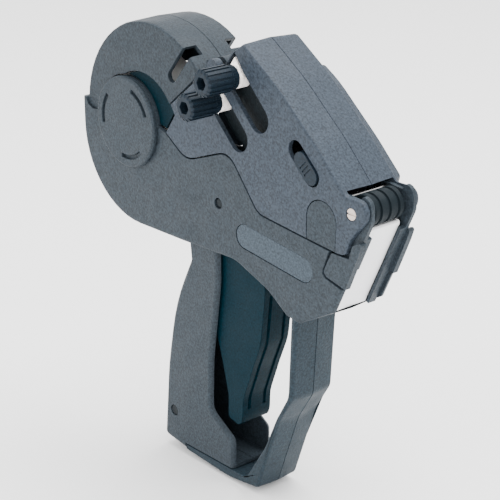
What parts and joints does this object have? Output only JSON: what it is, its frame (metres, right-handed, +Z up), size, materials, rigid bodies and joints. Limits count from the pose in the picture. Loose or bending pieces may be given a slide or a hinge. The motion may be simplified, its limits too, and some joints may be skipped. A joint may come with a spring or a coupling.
{
  "type": "price labeling gun",
  "caption": "Hand-held two-line price labeling gun: clamshell body, hinged label-roll cover, squeeze trigger, two side knobs and an applicator roller at the nose.",
  "frame": {"origin": "under the middle of the bounding box, on the surface the foot of the handle stands on", "axes": "+X out of the nose, +Z up, the clamshell parts on a plane across Y and the knobs stand out towards -Y"},
  "size_m": [0.2092, 0.061, 0.2321],
  "materials": {
    "shell": "fine grain",
    "cover": "fine grain",
    "grip": "fine grain",
    "trigger": "satin",
    "shield": "satin",
    "knob": "satin",
    "dark": "fine grain",
    "cream": "fine grain",
    "belt": "matte",
    "rubber": "matte",
    "ink": "matte",
    "paper": "smooth paper",
    "board": "pressed board",
    "panel": "satin",
    "latch": "fine grain",
    "steel": "plated",
    "screw": "plated"
  },
  "bodies": {
    "gun_body": {"frame_near": "shell", "frame_far": "shell", "hood_near": "shell", "hood_far": "shell", "hub_disc_near": "shell", "hub_disc_far": "shell", "nose_tab": "shell", "guard_near": "grip", "guard_far": "grip", "crescent_shield_near": "shield", "crescent_shield_far": "shield", "roll_spindle": "dark", "web_guide_roller": "dark", "platen": "dark", "front_plate": "dark", "ink_holder": "dark", "label_web": "paper", "name_panel": "panel", "peel_plate": "steel", "feed_pawl": "steel", "ink_roller_axle": "steel", "trigger_pivot_pin": "steel", "roller_axle": "steel", "cover_hinge_pin": "steel", "nose_screw_near": "screw", "nose_screw_far": "screw", "handle_screw_near": "screw", "handle_screw_far": "screw"},
    "roll_cover": {"roll_cover_near": "cover", "roll_cover_far": "cover"},
    "label_reel": {"label_core": "board", "label_roll": "paper"},
    "trigger_swing": {"trigger": "trigger", "drive_lever": "steel", "trigger_spring": "steel"},
    "print_head": {"print_head_frame": "cream", "type_belt_upper": "belt", "type_belt_lower": "belt", "pointer_upper": "cream", "pointer_lower": "cream", "drive_pin": "steel"},
    "feed_drive": {"feed_wheel": "dark", "ratchet_wheel": "steel", "feed_axle": "steel"},
    "upper_selector": {"selector_shaft_upper": "steel"},
    "lower_selector": {"selector_shaft_lower": "steel"},
    "upper_knob": {"knob_upper": "knob"},
    "lower_knob": {"knob_lower": "knob"},
    "ink_turn": {"ink_roller": "ink"},
    "applicator_turn": {"applicator_roller": "rubber"},
    "web_gate": {"gate_near_arm": "shell", "gate_far_arm": "shell", "gate_tie_bar": "steel"},
    "latch_slide": {"latch_button": "latch"}
  },
  "joints": [
    {"name": "cover_hinge", "type": "hinge", "parent": "gun_body", "child": "roll_cover", "pos_m": [-0.00116, 0.0065, 0.2157], "axis": [0, 1, 0], "range_deg": [0, 80]},
    {"name": "reel_turn", "type": "hinge", "parent": "gun_body", "child": "label_reel", "pos_m": [-0.06486, 0.0065, 0.1759], "axis": [0, 1, 0], "continuous": true},
    {"name": "trigger_pull", "type": "hinge", "parent": "gun_body", "child": "trigger_swing", "pos_m": [0.00464, 0.0065, 0.1501], "axis": [0, 1, 0], "range_deg": [0, 19], "stiffness_Nm_per_rad": 0.6, "springref_deg": -20.05, "deforming": ["trigger_spring"]},
    {"name": "head_stroke", "type": "slide", "parent": "gun_body", "child": "print_head", "axis": [0.7071, 0, -0.7071], "range_m": [0, 0.0194]},
    {"name": "feed_turn", "type": "hinge", "parent": "gun_body", "child": "feed_drive", "pos_m": [0.07254, 0.0065, 0.1311], "axis": [0, 1, 0], "range_deg": [0, 82]},
    {"name": "upper_band_select", "type": "slide", "parent": "print_head", "child": "upper_selector", "axis": [0, -1, 0], "range_m": [0, 0.006]},
    {"name": "lower_band_select", "type": "slide", "parent": "print_head", "child": "lower_selector", "axis": [0, -1, 0], "range_m": [0, 0.006]},
    {"name": "upper_knob_turn", "type": "hinge", "parent": "upper_selector", "child": "upper_knob", "pos_m": [0.01684, 0.0065, 0.2152], "axis": [0, 1, 0], "continuous": true},
    {"name": "lower_knob_turn", "type": "hinge", "parent": "lower_selector", "child": "lower_knob", "pos_m": [0.00434, 0.0065, 0.2012], "axis": [0, 1, 0], "continuous": true},
    {"name": "ink_roller_turn", "type": "hinge", "parent": "gun_body", "child": "ink_turn", "pos_m": [0.07334, 0.0065, 0.1737], "axis": [0, 1, 0], "continuous": true},
    {"name": "applicator_roller_turn", "type": "hinge", "parent": "gun_body", "child": "applicator_turn", "pos_m": [0.09464, 0.0065, 0.1685], "axis": [0, 1, 0], "continuous": true},
    {"name": "gate_swing", "type": "hinge", "parent": "gun_body", "child": "web_gate", "pos_m": [0.09464, 0.0065, 0.1685], "axis": [0, -1, 0], "range_deg": [0, 40]},
    {"name": "latch_travel", "type": "slide", "parent": "gun_body", "child": "latch_slide", "axis": [-0.7273, 0, 0.6863], "range_m": [0, 0.0045]}
  ],
  "couplings": [
    {"joint": "head_stroke", "follows": "trigger_pull", "m_per_rad": 0.0579},
    {"joint": "feed_turn", "follows": "trigger_pull", "ratio": 4.27}
  ]
}
